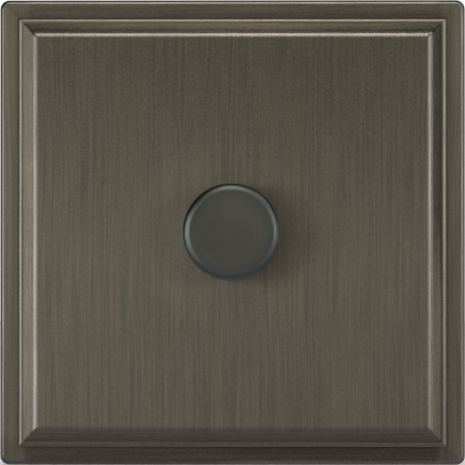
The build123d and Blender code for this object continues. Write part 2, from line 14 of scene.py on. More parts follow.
import bpy
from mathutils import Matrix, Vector


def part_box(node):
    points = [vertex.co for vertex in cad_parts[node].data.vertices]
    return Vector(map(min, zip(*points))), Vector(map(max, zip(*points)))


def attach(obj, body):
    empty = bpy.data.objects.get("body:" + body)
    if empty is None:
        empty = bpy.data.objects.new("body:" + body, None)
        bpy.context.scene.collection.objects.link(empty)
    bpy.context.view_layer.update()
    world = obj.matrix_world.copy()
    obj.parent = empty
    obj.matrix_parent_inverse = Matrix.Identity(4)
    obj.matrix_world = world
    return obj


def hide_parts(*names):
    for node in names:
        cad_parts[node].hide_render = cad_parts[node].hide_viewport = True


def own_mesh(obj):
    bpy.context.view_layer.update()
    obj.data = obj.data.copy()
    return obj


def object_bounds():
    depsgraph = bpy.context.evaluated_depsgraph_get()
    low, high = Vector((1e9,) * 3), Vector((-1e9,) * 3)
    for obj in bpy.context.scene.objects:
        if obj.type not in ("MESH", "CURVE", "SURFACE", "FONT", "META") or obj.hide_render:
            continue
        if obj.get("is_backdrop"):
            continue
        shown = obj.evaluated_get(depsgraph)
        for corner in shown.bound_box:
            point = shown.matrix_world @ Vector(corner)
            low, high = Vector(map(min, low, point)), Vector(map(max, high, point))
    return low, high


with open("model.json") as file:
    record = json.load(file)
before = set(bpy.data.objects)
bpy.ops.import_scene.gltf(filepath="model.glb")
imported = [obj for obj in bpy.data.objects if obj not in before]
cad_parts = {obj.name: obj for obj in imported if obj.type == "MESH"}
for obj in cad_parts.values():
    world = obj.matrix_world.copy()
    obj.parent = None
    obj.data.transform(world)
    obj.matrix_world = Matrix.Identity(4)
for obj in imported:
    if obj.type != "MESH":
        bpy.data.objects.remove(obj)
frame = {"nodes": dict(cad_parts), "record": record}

LOG = logging.getLogger("dimmer")
MM = 0.001
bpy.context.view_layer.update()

Link = bpy.types.NodeSocket
Material = bpy.types.Material
Node = bpy.types.Node
Outputs = bpy.types.NodeOutputs
Piece = bpy.types.Object
Tree = bpy.types.NodeTree
Band = tuple[float, float]
Colour = tuple[float, float, float]
Point = tuple[float, float, float]
Spot = tuple[float, float]
Value = float | int | bool | Sequence[float] | Link | Material | Piece

NOISE_BAND: Band = (0.3, 0.7)  # most of a noise's values
CREASE = 28.0  # degrees above which an edge stays sharp


class Grain(Enum):
    """Which way the brushing runs on a face of the plate."""

    UPRIGHT = 0.0
    LEVEL = 1.0


class Body(Enum):
    """Bodies of the mechanism that redrawn pieces ride on."""

    BASE = "base"
    KNOB = "knob"


class Kind(Enum):
    """Types of sockets on a node group."""

    NUMBER = "NodeSocketFloat"
    VECTOR = "NodeSocketVector"
    GEOMETRY = "NodeSocketGeometry"
    OBJECT = "NodeSocketObject"
    MATERIAL = "NodeSocketMaterial"

    @classmethod
    def of(cls, value: Value) -> "Kind":
        """Type of socket for a value.

        Args:
            value: a number, an object or a material.

        Returns:
            The type that takes it.
        """
        if isinstance(value, Piece):
            return cls.OBJECT
        return cls.MATERIAL if isinstance(value, Material) else cls.NUMBER


class Wiring:
    """Adds nodes to one tree and links them."""

    def __init__(self, tree: Tree) -> None:
        """Keep the tree to work on."""
        self.tree = tree

    def plug(self, socket: Link, value: Value) -> None:
        """Link a socket to another one, or set its own value.

        Args:
            socket: the socket that takes the value.
            value: another socket, or a plain value.
        """
        if isinstance(value, Link):
            self.tree.links.new(value, socket)
        else:
            socket.default_value = value

    def feed(self, node: Node, **inputs: Value) -> None:
        """Plug values into a node's sockets, named with underscores for spaces."""
        for name, value in inputs.items():
            self.plug(node.inputs[name.replace("_", " ")], value)

    def node(self, kind: str, settings: dict[str, object] | None = None, **inputs: Value) -> Node:
        """Add a node.

        Args:
            kind: type name of the node.
            settings: properties of the node.
            inputs: values keyed by socket name, with underscores for spaces.

        Returns:
            The new node.
        """
        made = self.tree.nodes.new(kind)
        for name, value in (settings or {}).items():
            setattr(made, name, value)
        self.feed(made, **inputs)
        return made

    def maths(self, operation: str, *terms: Value) -> Link:
        """Combine numbers.

        Args:
            operation: name of the operation.
            terms: one to three numbers or sockets.

        Returns:
            The result's socket.
        """
        made = self.node("ShaderNodeMath", {"operation": operation})
        for socket, term in zip(made.inputs, terms):
            self.plug(socket, term)
        return made.outputs[0]

    def lerp(self, share: Value, first: Value, second: Value) -> Link:
        """Mix two numbers by the second one's share."""
        return self.node("ShaderNodeMix", Factor=share, A=first, B=second).outputs[0]

    def blend(self, share: Value, *colours: Colour | Link) -> Link:
        """Mix two colours.

        Args:
            share: share of the second colour.
            colours: both colours.

        Returns:
            The mixed colour's socket.
        """
        made = self.node("ShaderNodeMix", {"data_type": "RGBA"}, Factor=share)
        for socket, colour in zip((s for s in made.inputs if s.type == "RGBA"), colours):
            self.plug(socket, colour if isinstance(colour, Link) else (*colour, 1.0))
        return next(s for s in made.outputs if s.type == "RGBA")

    def span(self, value: Value, low: float, high: float, to_low: float = 0.0, to_high: float = 1.0) -> Link:
        """Map a number from one range to another, kept inside it.

        Args:
            value: number to map.
            low: start of the first range.
            high: end of the first range.
            to_low: start of the second range.
            to_high: end of the second range.

        Returns:
            The mapped number's socket.
        """
        made = self.node("ShaderNodeMapRange")
        for socket, number in zip(made.inputs, (value, low, high, to_low, to_high)):
            self.plug(socket, number)
        return made.outputs[0]

    def noise(self, vector: Value, scale: Value, detail: float) -> Link:
        """Smooth noise at a place, by its scale and its number of finer layers."""
        return self.node("ShaderNodeTexNoise", Vector=vector, Scale=scale, Detail=detail).outputs[0]


class Group(Wiring):
    """A new node group with its input and output nodes."""

    def __init__(
        self, kind: str, name: str, inputs: dict[str, float | Kind], outputs: dict[str, Kind]
    ) -> None:
        """Make the group and its sockets.

        Args:
            kind: type name of the tree.
            name: the group's name.
            inputs: default of each number, and type of each other input.
            outputs: type of each output.
        """
        super().__init__(bpy.data.node_groups.new(name, kind))
        interface = self.tree.interface
        for label, given in inputs.items():
            if isinstance(given, Kind):
                interface.new_socket(label, in_out="INPUT", socket_type=given.value)
            else:
                number = interface.new_socket(label, in_out="INPUT", socket_type=Kind.NUMBER.value)
                number.default_value = given
        for label, result in outputs.items():
            interface.new_socket(label, in_out="OUTPUT", socket_type=result.value)
        self.given = self.node("NodeGroupInput").outputs
        self.out = self.node("NodeGroupOutput")


class Effect(Group):
    """Shader group that reads a place and gives numbers."""

    def __init__(self, name: str, outputs: Sequence[str], inputs: dict[str, float]) -> None:
        """Make the group.

        Args:
            name: the group's name.
            outputs: names of the numbers that it gives.
            inputs: default of each number that it takes.
        """
        results = dict.fromkeys(outputs, Kind.NUMBER)
        super().__init__("ShaderNodeTree", name, {"Place": Kind.VECTOR, **inputs}, results)
        self.place = self.given["Place"]

    def per(self, size: str) -> Link:
        """Scale of a noise whose waves have the size of a named input."""
        return self.maths("DIVIDE", 1.0, self.given[size])


class Effects:
    """Shader groups that several finishes share, each built once."""

    @staticmethod
    @cache
    def brushed_grain() -> Tree:
        """Long straight brushing: fine lines, wider streaks and slow tint changes along the grain.

        Returns:
            The node group.
        """
        layers = {
            "Lines": ("Line Width", 4.0, 2.0),
            "Streaks": ("Streak Width", 1.0, 1.0),
            "Tint": ("Tint Width", 0.3, 3.0),
        }
        sizes = {
            "Level": 0.0,
            "Line Width": 0.16 * MM,
            "Streak Width": 0.46 * MM,
            "Tint Width": 4.5 * MM,
            "Line Length": 22 * MM,
            "Waver": 1.2 * MM,
            "Waver Length": 30 * MM,
        }
        g = Effect("Brushed grain", tuple(layers), sizes)
        x, y, z = g.node("ShaderNodeSeparateXYZ", Vector=g.place).outputs
        along = g.lerp(g.given["Level"], z, x)
        across = g.lerp(g.given["Level"], x, z)
        run = g.maths("DIVIDE", along, g.given["Line Length"])
        drift = g.maths("SUBTRACT", g.noise(g.place, g.per("Waver Length"), detail=0.0), 0.5)
        across = g.maths("ADD", across, g.maths("MULTIPLY", drift, g.given["Waver"]))
        for label, (width, slow, detail) in layers.items():
            seat = g.node(
                "ShaderNodeCombineXYZ",
                X=g.maths("DIVIDE", across, g.given[width]),
                Y=g.maths("DIVIDE", y, g.given[width]),
                Z=g.maths("MULTIPLY", run, slow),
            )
            g.feed(g.out, **{label: g.noise(seat.outputs[0], 1.0, detail)})
        return g.tree

    @staticmethod
    @cache
    def handled_wear() -> Tree:
        """Soft smudges and fine specks that vary gloss and colour over a surface.

        Returns:
            The node group.
        """
        sizes = {"Smudge Size": 9 * MM, "Speck Size": 0.25 * MM}
        g = Effect("Handled wear", ("Smudge", "Specks"), sizes)
        smudge = g.noise(g.place, g.per("Smudge Size"), detail=3.0)
        g.feed(g.out, Smudge=smudge, Specks=g.noise(g.place, g.per("Speck Size"), detail=1.0))
        return g.tree

    @staticmethod
    @cache
    def spark_texture() -> Tree:
        """Fine pitted texture of moulded plastic.

        Returns:
            The node group.
        """
        g = Effect("Spark texture", ("Height",), {"Pit Size": 0.18 * MM})
        scale = g.per("Pit Size")
        cells = g.node("ShaderNodeTexVoronoi", Vector=g.place, Scale=scale).outputs[0]
        g.feed(g.out, Height=g.maths("ADD", cells, g.noise(g.place, scale, detail=2.0)))
        return g.tree


class Canvas(Wiring):
    """A new material with its Principled shader and Object coordinates."""

    def __init__(self, name: str) -> None:
        """Make the material and its fixed nodes.

        Args:
            name: the material's name.
        """
        self.material = bpy.data.materials.new(name)
        self.material.use_nodes = True
        super().__init__(self.material.node_tree)
        self.tree.nodes.clear()
        self.shader = self.node("ShaderNodeBsdfPrincipled")
        self.node("ShaderNodeOutputMaterial", Surface=self.shader.outputs[0])
        self.place = self.node("ShaderNodeTexCoord").outputs["Object"]

    def axes(self) -> Outputs:
        """The place's three coordinates."""
        return self.node("ShaderNodeSeparateXYZ", Vector=self.place).outputs

    def reach(self) -> Link:
        """Measure from the knob's axis.

        Returns:
            The distance's socket.
        """
        x, _, z = self.axes()
        flat = self.node("ShaderNodeCombineXYZ", X=x, Z=z).outputs[0]
        return self.node("ShaderNodeVectorMath", {"operation": "LENGTH"}, Vector=flat).outputs["Value"]

    def attribute(self, name: str) -> Link:
        """Number that the mesh carries under a name."""
        return self.node("ShaderNodeAttribute", {"attribute_name": name}).outputs["Fac"]

    def effect(self, tree: Tree, **inputs: Value) -> Outputs:
        """Place a shared effect, with values for its sockets, and give its outputs."""
        return self.node("ShaderNodeGroup", {"node_tree": tree}, Place=self.place, **inputs).outputs

    def gloss(self, roughness: float, smudge: Link, sway: Band) -> Link:
        """Roughness that sways with the smudges between two steps from its middle."""
        return self.span(smudge, *NOISE_BAND, *(roughness + step for step in sway))

    def surface(self, **inputs: Value) -> None:
        """Set the shader's sockets, with underscores for spaces."""
        self.feed(self.shader, **inputs)

    def bump(self, height: Value, strength: float, distance: float) -> None:
        """Raise the surface by a height, at a strength and over a distance."""
        made = self.node("ShaderNodeBump", Strength=strength, Distance=distance, Height=height)
        self.surface(Normal=made.outputs[0])


@dataclass(frozen=True)
class BrushedBronze:
    """Dark bronze, brushed in long straight lines, with warm tints, patina and painted shade, worn edges with
    painted highlights, and painted light beside the knob.
    """

    name: str = "Plate bronze"
    dark: Colour = (0.100, 0.0882, 0.0646)
    light: Colour = (0.151, 0.1325, 0.0968)
    warm: Colour = (0.142, 0.110, 0.078)
    # colour of the patina and of the painted shade
    painted_shade_and_patina: Colour = (0.0250, 0.0222, 0.0176)
    # paler colour of worn edges: partly real wear, partly painted highlight
    bare_highlight_colour: Colour = (0.250, 0.2420, 0.2240)
    # colour of the painted light beside the knob
    painted_light_colour: Colour = (0.252, 0.222, 0.163)
    roughness: float = 0.31
    line_gloss: float = 0.06
    smudge_gloss: float = 0.08
    edge_gloss: float = -0.10
    stretch: float = 0.45
    line_width: float = 0.16 * MM
    line_depth: float = 0.004 * MM
    relief: float = 0.35
    streak_relief: float = 0.5
    streak_share: float = 0.75
    tint_share: float = 0.55
    tint_band: Band = (0.50, 0.68)
    speck_size: float = 0.45 * MM
    speck_share: float = 0.20
    bare_highlight_share: float = 0.45
    # painted shade: the field darker towards the top
    top_shade: float = 0.37
    top_shade_band: Band = (-5 * MM, 32 * MM)
    # painted shade on the level-brushed top and bottom sides, more at the bottom
    level_side_shade: Band = (0.20, 0.06)
    level_side_band: Band = (-20 * MM, 20 * MM)
    # painted shade with patina along the step, the quirk, the bands and the treads
    shade_and_patina_strength: float = 0.28
    # painted light beside the knob, fading out between the near and far distances
    painted_light_strength: float = 0.28
    painted_light_near: float = 10.0 * MM
    painted_light_far: float = 20.0 * MM
    upper_right_light_share: float = 0.45

    def painted_light_by_knob(self, c: Canvas) -> Link:
        """Share of the painted light on the field beside the knob, left of it and to its upper right, that
        lifts the knob's shade there.

        Args:
            c: the material.

        Returns:
            The share's socket.
        """
        x, _, z = c.axes()
        left_painted_light = c.span(x, -self.painted_light_near, 0.0, 1.0, 0.0)
        upper_right_painted_light = c.span(c.maths("MULTIPLY", x, z), 0.0, self.painted_light_near**2 / 2, 0.0, self.upper_right_light_share)
        near = c.span(c.reach(), self.painted_light_near, self.painted_light_far, self.painted_light_strength, 0.0)
        near = c.maths("MULTIPLY", near, c.attribute(Plate.FIELD))
        return c.maths("MULTIPLY", near, c.maths("MAXIMUM", left_painted_light, upper_right_painted_light))

    def patina(self, c: Canvas, level: Link, bare_and_highlight: Link, specks: Link) -> Link:
        """Share of the dark colour: real specks, painted shade on the field's top and on the level sides, and
        painted shade with patina in the recesses.

        Args:
            c: the material.
            level: way of the brushing.
            bare_and_highlight: share of worn metal with painted highlight.
            specks: fine specks.

        Returns:
            The share's socket.
        """
        height = c.axes()["Z"]
        share = c.span(specks, *NOISE_BAND, 0.0, self.speck_share)
        # painted shade: the field darker towards the top
        middle = c.span(height, *self.top_shade_band, 0.0, self.top_shade)
        share = c.maths("MULTIPLY_ADD", middle, c.attribute(Plate.FIELD), share)
        # painted shade on the level-brushed sides, more at the bottom, none where the metal is worn
        level_side_mask = c.maths("MULTIPLY", level, c.maths("SUBTRACT", 1.0, bare_and_highlight))
        share = c.maths("MULTIPLY_ADD", level_side_mask, c.span(height, *self.level_side_band, *self.level_side_shade), share)
        # painted shade with patina along the step, the quirk, the bands and the treads
        return c.maths("MULTIPLY_ADD", c.attribute(Plate.SHADE_AND_PATINA), self.shade_and_patina_strength, share)

    def material(self) -> Material:
        """Build the finish.

        Returns:
            The material.
        """
        c = Canvas(self.name)
        level = c.attribute(Plate.GRAIN)
        bare_and_highlight = c.attribute(Plate.BARE_AND_HIGHLIGHT)
        grain = c.effect(Effects.brushed_grain(), Level=level, Line_Width=self.line_width)
        wear = c.effect(Effects.handled_wear(), Speck_Size=self.speck_size)
        streaks = c.span(grain["Streaks"], *NOISE_BAND, 0.0, self.streak_share)
        lines = c.span(grain["Lines"], *NOISE_BAND)
        share = c.maths("MULTIPLY_ADD", lines, 1.0 - self.streak_share, streaks)
        colour = c.blend(share, self.dark, self.light)
        tint = c.span(grain["Tint"], *self.tint_band, 0.0, self.tint_share)
        colour = c.blend(tint, colour, self.warm)
        # painted light beside the knob
        colour = c.blend(self.painted_light_by_knob(c), colour, self.painted_light_colour)
        # worn edges made paler, partly real wear and partly painted highlight
        colour = c.blend(c.maths("MULTIPLY", bare_and_highlight, self.bare_highlight_share), colour, self.bare_highlight_colour)
        # specks, patina and painted shade darken the colour
        colour = c.blend(self.patina(c, level, bare_and_highlight, wear["Specks"]), colour, self.painted_shade_and_patina)
        gloss = c.maths("MULTIPLY_ADD", lines, self.line_gloss, self.roughness)
        gloss = c.maths("MULTIPLY_ADD", wear["Smudge"], self.smudge_gloss, gloss)
        gloss = c.maths("MULTIPLY_ADD", bare_and_highlight, self.edge_gloss, gloss)
        across = c.node("ShaderNodeCombineXYZ", X=c.maths("SUBTRACT", 1.0, level), Z=level)
        c.surface(Base_Color=colour, Roughness=gloss, Metallic=1.0)
        c.surface(Anisotropic=self.stretch, Tangent=across.outputs[0])
        c.bump(c.maths("MULTIPLY_ADD", streaks, self.streak_relief, lines), self.relief, self.line_depth)
        return c.material


@dataclass(frozen=True)
class TurnedBronze:
    """Darker bronze of a turned knob: upright scratches on its face, a green cast on its rounded rim."""

    name: str = "Knob bronze"
    face: Colour = (0.089, 0.086, 0.074)
    rim: Colour = (0.071, 0.078, 0.067)
    scratch: Colour = (0.112, 0.107, 0.092)
    roughness: float = 0.33
    sway: Band = (-0.03, 0.05)
    rim_band: Band = (6.3 * MM, 7.5 * MM)
    line_width: float = 0.13 * MM
    line_length: float = 24 * MM
    line_band: Band = (0.52, 0.72)
    line_share: float = 0.55
    mark_scale: float = 9000.0
    mark_band: Band = (0.4, 0.7)
    mark_share: float = 0.25
    relief: float = 0.25
    depth: float = 0.002 * MM

    def material(self) -> Material:
        """Build the finish.

        Returns:
            The material.
        """
        c = Canvas(self.name)
        grain = c.effect(Effects.brushed_grain(), Line_Width=self.line_width, Line_Length=self.line_length)
        wear = c.effect(Effects.handled_wear())
        lines = c.span(grain["Lines"], *self.line_band, 0.0, self.line_share)
        colour = c.blend(lines, self.face, self.scratch)
        colour = c.blend(c.span(c.reach(), *self.rim_band), colour, self.rim)
        depth = c.node("ShaderNodeCombineXYZ", Y=c.axes()["Y"])
        marks = c.noise(depth.outputs[0], self.mark_scale, detail=2.0)
        colour = c.blend(c.span(marks, *self.mark_band, 0.0, self.mark_share), colour, self.scratch)
        gloss = c.gloss(self.roughness, wear["Smudge"], self.sway)
        c.surface(Base_Color=colour, Roughness=gloss, Metallic=1.0)
        c.bump(c.maths("ADD", grain["Lines"], marks), self.relief, self.depth)
        return c.material


@dataclass(frozen=True)
class MouldedPlastic:
    """Moulded plastic with a fine spark texture and paler smudges."""

    name: str
    colour: Colour
    roughness: float
    sway: Band = (-0.06, 0.08)
    pale_gain: float = 1.35
    pale_lift: float = 0.004
    pale_band: Band = (0.35, 0.7)
    pale_share: float = 0.7
    pit_size: float = 0.18 * MM
    pit_depth: float = 0.012 * MM
    relief: float = 0.5

    def material(self) -> Material:
        """Build the finish.

        Returns:
            The material.
        """
        c = Canvas(self.name)
        wear = c.effect(Effects.handled_wear())
        pits = c.effect(Effects.spark_texture(), Pit_Size=self.pit_size)
        pale = tuple(part * self.pale_gain + self.pale_lift for part in self.colour)
        colour = c.blend(c.span(wear["Smudge"], *self.pale_band, 0.0, self.pale_share), self.colour, pale)
        c.surface(Base_Color=colour, Roughness=c.gloss(self.roughness, wear["Smudge"], self.sway))
        c.bump(pits["Height"], self.relief, self.pit_depth)
        return c.material


@dataclass(frozen=True)
class MachinedMetal:
    """Plated or machined metal with fine tool marks and slight stains."""

    name: str
    colour: Colour
    stain: Colour
    roughness: float
    mark_width: float = 0.08 * MM
    mark_length: float = 12 * MM
    mark_depth: float = 0.01 * MM
    relief: float = 0.25
    smudge_size: float = 4 * MM
    smudge_gloss: float = 0.12
    stain_band: Band = (0.4, 0.75)
    stain_share: float = 0.6

    def material(self) -> Material:
        """Build the finish.

        Returns:
            The material.
        """
        c = Canvas(self.name)
        grain = c.effect(Effects.brushed_grain(), Line_Width=self.mark_width, Line_Length=self.mark_length)
        smudge = c.effect(Effects.handled_wear(), Smudge_Size=self.smudge_size)["Smudge"]
        stains = c.span(smudge, *self.stain_band, 0.0, self.stain_share)
        gloss = c.maths("MULTIPLY_ADD", smudge, self.smudge_gloss, self.roughness)
        colour = c.blend(stains, self.colour, self.stain)
        c.surface(Base_Color=colour, Roughness=gloss, Metallic=1.0)
        c.bump(grain["Lines"], self.relief, self.mark_depth)
        return c.material


@dataclass(frozen=True)
class PlainBody:
    """Body of an electronic component: specked colour with uneven gloss."""

    name: str
    colour: Colour
    speck: Colour
    roughness: float
    sway: Band = (-0.08, 0.08)
    smudge_size: float = 5 * MM
    speck_size: float = 0.2 * MM
    speck_band: Band = (0.5, 0.75)
    speck_depth: float = 0.01 * MM
    relief: float = 0.2

    def material(self) -> Material:
        """Build the finish.

        Returns:
            The material.
        """
        c = Canvas(self.name)
        wear = c.effect(Effects.handled_wear(), Speck_Size=self.speck_size, Smudge_Size=self.smudge_size)
        colour = c.blend(c.span(wear["Specks"], *self.speck_band), self.colour, self.speck)
        c.surface(Base_Color=colour, Roughness=c.gloss(self.roughness, wear["Smudge"], self.sway))
        c.bump(wear["Specks"], self.relief, self.speck_depth)
        return c.material


Finish = BrushedBronze | TurnedBronze | MouldedPlastic | MachinedMetal | PlainBody

FINISHES: dict[str, Finish] = {
    "bronze_plate": BrushedBronze(),
    "bronze_knob": TurnedBronze(),
    "black_plastic": MouldedPlastic("Black plastic", (0.020, 0.020, 0.021), 0.48),
    "housing_plastic": MouldedPlastic("Housing plastic", (0.040, 0.041, 0.044), 0.52),
    "case_plastic": MouldedPlastic("Brown plastic", (0.060, 0.045, 0.035), 0.42),
    "white_plastic": MouldedPlastic("White plastic", (0.62, 0.61, 0.57), 0.38),
    "zinc_steel": MachinedMetal("Zinc steel", (0.62, 0.61, 0.58), (0.46, 0.45, 0.41), 0.26),
    "spindle_steel": MachinedMetal("Spindle steel", (0.52, 0.51, 0.49), (0.40, 0.39, 0.36), 0.24),
    "spring_steel": MachinedMetal("Spring steel", (0.40, 0.40, 0.41), (0.30, 0.29, 0.28), 0.28),
    "brass": MachinedMetal("Brass", (0.74, 0.55, 0.26), (0.52, 0.36, 0.16), 0.24),
    "copper": MachinedMetal("Copper", (0.72, 0.38, 0.23), (0.45, 0.22, 0.13), 0.28),
    "aluminium": MachinedMetal("Aluminium", (0.74, 0.74, 0.75), (0.62, 0.62, 0.63), 0.34, 0.14 * MM),
    "board_green": PlainBody("Board green", (0.016, 0.105, 0.042), (0.030, 0.150, 0.065), 0.34),
    "wafer_board": PlainBody("Wafer board", (0.21, 0.13, 0.06), (0.26, 0.17, 0.09), 0.50),
    "epoxy_black": PlainBody("Epoxy black", (0.017, 0.017, 0.018), (0.026, 0.026, 0.027), 0.45),
    "pad_grey": PlainBody("Pad grey", (0.33, 0.34, 0.35), (0.40, 0.41, 0.42), 0.65),
    "ferrite": PlainBody("Ferrite", (0.045, 0.044, 0.043), (0.070, 0.068, 0.066), 0.40),
    "capacitor_yellow": PlainBody("Capacitor yellow", (0.64, 0.41, 0.05), (0.68, 0.46, 0.09), 0.34),
    "fuse_ceramic": PlainBody("Fuse ceramic", (0.74, 0.73, 0.70), (0.66, 0.65, 0.62), 0.30),
}


@cache
def material_of(slot: str) -> Material:
    """Material of a record slot, built the first time."""
    return FINISHES[slot].material()


def add_piece(name: str, mesh: bpy.types.Mesh) -> Piece:
    """Put a mesh in the scene, at the origin.

    Args:
        name: the object's name.
        mesh: its mesh.

    Returns:
        The object.
    """
    made = bpy.data.objects.new(name, mesh)
    bpy.context.scene.collection.objects.link(made)
    return made


def add_mesh(name: str, points: Sequence[Point], faces: Sequence[Sequence[int]]) -> Piece:
    """Make a mesh object at the origin.

    Args:
        name: the object's name.
        points: its vertices.
        faces: vertex numbers of each face.

    Returns:
        The object.
    """
    mesh = bpy.data.meshes.new(name)
    mesh.from_pydata(points, [], faces)
    mesh.validate()
    return add_piece(name, mesh)


def lathe(name: str, rows: Sequence[Spot], segments: int) -> Piece:
    """Turn an outline about the Y axis and close both its ends.

    Args:
        name: the object's name.
        rows: radius and height above the wall, running towards the front on the outside.
        segments: number of steps round the axis.

    Returns:
        The turned object.
    """
    turns = [2 * math.pi * k / segments for k in range(segments)]
    points = [(r * math.cos(t), -level, r * math.sin(t)) for r, level in rows for t in turns]
    last = (len(rows) - 1) * segments
    faces: list[Sequence[int]] = []
    for start in range(0, last, segments):
        for k in range(segments):
            a, b = start + k, start + (k + 1) % segments
            faces.append((a, b, b + segments, a + segments))
    faces.append(tuple(range(last, last + segments)))
    faces.append(tuple(reversed(range(segments))))
    return add_mesh(name, points, faces)


def smooth(piece: Piece, angle: float) -> None:
    """Shade a piece smoothly, with creases kept sharp above an angle in degrees."""
    piece.data.shade_smooth()
    piece.data.set_sharp_from_angle(angle=math.radians(angle))


def settle(piece: Piece, body: Body, slot: str, *nodes: str) -> None:
    """Hand a finished piece to the frame.

    Args:
        piece: the finished object.
        body: body that it rides on.
        slot: record slot of its finish; not used.
        nodes: CAD nodes that it stands for.
    """
    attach(piece, body.value)
    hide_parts(*nodes)
    LOG.info("%s: %d faces on %s", piece.name, len(piece.data.polygons), body.value)


def clamp(share: float) -> float:
    """A share kept between 0 and 1."""
    return max(0.0, min(1.0, share))


def arc(centre: Spot, radius: float, start: float, end: float, steps: int) -> list[Spot]:
    """Points on an arc between two angles in degrees, both ends included."""
    turns = [math.radians(start + (end - start) * i / steps) for i in range(steps + 1)]
    return [(centre[0] + radius * math.cos(t), centre[1] + radius * math.sin(t)) for t in turns]


def quarter(inset: float, level: float, reach: float, drop: float, steps: int) -> list[Spot]:
    """Points of a round flattened to a width and a height, from an upright side to a level top."""
    unit = arc((0.0, 0.0), 1.0, 180, 90, steps)
    return [(inset + reach * (1 + a), level - drop * (1 - b)) for a, b in unit]


class Zone(Enum):
    """Strip of the plate that a ring belongs to."""

    EDGE = "edge"
    BAND = "band"
    NOSE = "nose"
    QUIRK = "quirk"
    TREAD = "tread"
    FIELD = "field"


class Side(Enum):
    """Side of the plate, split from its neighbours at the mitres."""

    TOP = "top"
    RIGHT = "right"
    BOTTOM = "bottom"
    LEFT = "left"

    @classmethod
    def of(cls, point: Point) -> "Side":
        """Find a point's side.

        Args:
            point: a point of the plate.

        Returns:
            The side that it belongs to.
        """
        x, _, z = point
        if abs(z) >= abs(x):
            return cls.TOP if z > 0.0 else cls.BOTTOM
        return cls.RIGHT if x > 0.0 else cls.LEFT


@dataclass(frozen=True)
class Row:
    """One ring of the plate's outline.

    It has its share of the field (which takes the painted shade at its top), of painted shade with patina, of
    wear with painted highlight, and how far it reaches into the snap pockets.
    """

    inset: float
    level: float
    corner: float
    zone: Zone
    field: float = 0.0
    shade_and_patina: float = 0.0
    wear_highlight: float = 0.0
    pocket: float = 0.0


@dataclass(frozen=True)
class PatinaAndShade:
    """Thickness of the painted shade and patina over the plate, where 1 is that of the step's corner."""

    quirk: float = 1.5
    quirk_right: float = 1.6
    quirk_fade: float = 0.9
    low_line: float = -0.9
    low_left: float = 0.9
    low_band: float = 1.2
    low_step: float = 0.3
    top_band: float = 0.7
    right_band: float = 0.3
    top_tread: float = 1.7
    top_lip: float = 1.2
    top_lip_power: int = 3
    right_tread: float = 0.7
    right_high: float = 2.0
    right_from: float = -0.35
    right_rise: float = 0.45
    right_step: float = 0.5
    right_line: float = 1.2
    right_line_power: int = 6
    left_tread: float = 0.5
    tread_step: float = 0.6

    def at(self, row: Row, across: float, up: float) -> float:
        """Painted shade and patina at a point: in the quirk, low on the band, along the top tread and high on
        the right tread.

        Args:
            row: ring that the point is on.
            across: place to the right of the middle, as a share of half the plate.
            up: place above the middle, likewise.

        Returns:
            The thickness.
        """
        step = row.shade_and_patina
        if row.zone is Zone.QUIRK:
            return self.quirk + self.quirk_right * max(across, 0.0) - self.quirk_fade * abs(up)
        if row.zone in (Zone.EDGE, Zone.BAND) and across < 0.0 and up < self.low_line:
            return self.low_left + self.low_step * step
        if row.zone is Zone.BAND and -up >= abs(across):
            return self.low_band + self.low_step * step
        if row.zone is Zone.BAND and max(up, across) >= max(-up, -across):
            return step + (self.top_band if up > across else self.right_band)
        if row.zone is not Zone.TREAD:
            return step
        if up >= abs(across):
            return self.top_tread + across**2 + self.top_lip * (1.0 - step) ** self.top_lip_power
        if across >= abs(up):
            high = self.right_high * clamp((up - self.right_from) / self.right_rise)
            line = self.right_line * step**self.right_line_power
            return self.right_tread + high + self.right_step * step + line
        return (self.left_tread if -across >= abs(up) else 0.0) + self.tread_step * step


